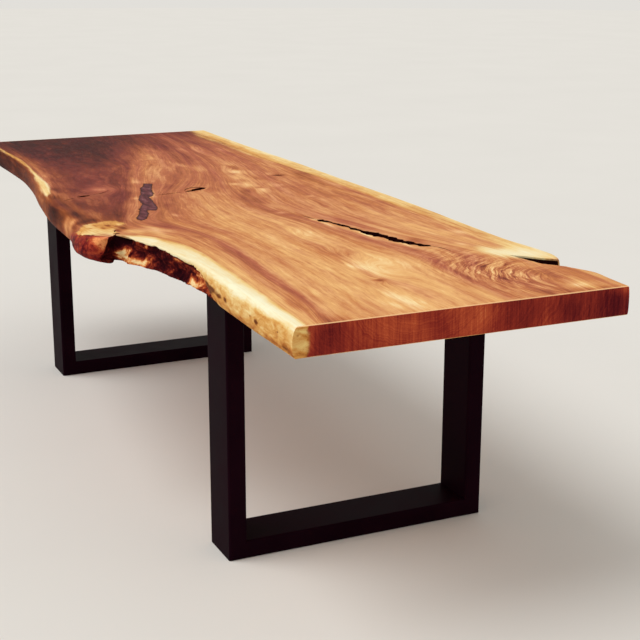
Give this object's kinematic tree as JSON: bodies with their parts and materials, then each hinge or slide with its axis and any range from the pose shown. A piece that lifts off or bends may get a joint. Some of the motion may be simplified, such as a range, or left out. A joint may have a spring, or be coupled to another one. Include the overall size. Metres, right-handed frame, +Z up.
{
  "type": "live-edge kitchen table",
  "caption": "Long table: a thick live-edge walnut board with a burl, cracks and a filled hole, bolted to black rectangular tube frames.",
  "frame": {"origin": "on the floor, under the middle of the board's bounding box", "axes": "+X along the board towards the front frame, -Y towards the board's burled edge, +Z up"},
  "size_m": [2.87, 1.0248, 0.762],
  "materials": {
    "oiled_walnut": "oiled satin, with pale sapwood along the natural edges",
    "smoky_resin": "clear smoky casting resin, polished flush",
    "black_powder_coat": "satin black powder coat",
    "black_oxide_steel": "black oxide",
    "zinc_steel": "bright zinc plate"
  },
  "bodies": {
    "root": {"slab_top": "oiled_walnut", "void_fill": "smoky_resin", "front_frame_left_post": "black_powder_coat", "front_frame_right_post": "black_powder_coat", "front_frame_floor_rail": "black_powder_coat", "front_frame_top_plate": "black_powder_coat", "front_frame_bolts": "black_oxide_steel", "front_frame_washers": "zinc_steel", "front_frame_inserts": "zinc_steel", "rear_frame_left_post": "black_powder_coat", "rear_frame_right_post": "black_powder_coat", "rear_frame_floor_rail": "black_powder_coat", "rear_frame_top_plate": "black_powder_coat", "rear_frame_bolts": "black_oxide_steel", "rear_frame_washers": "zinc_steel", "rear_frame_inserts": "zinc_steel"}
  },
  "joints": []
}
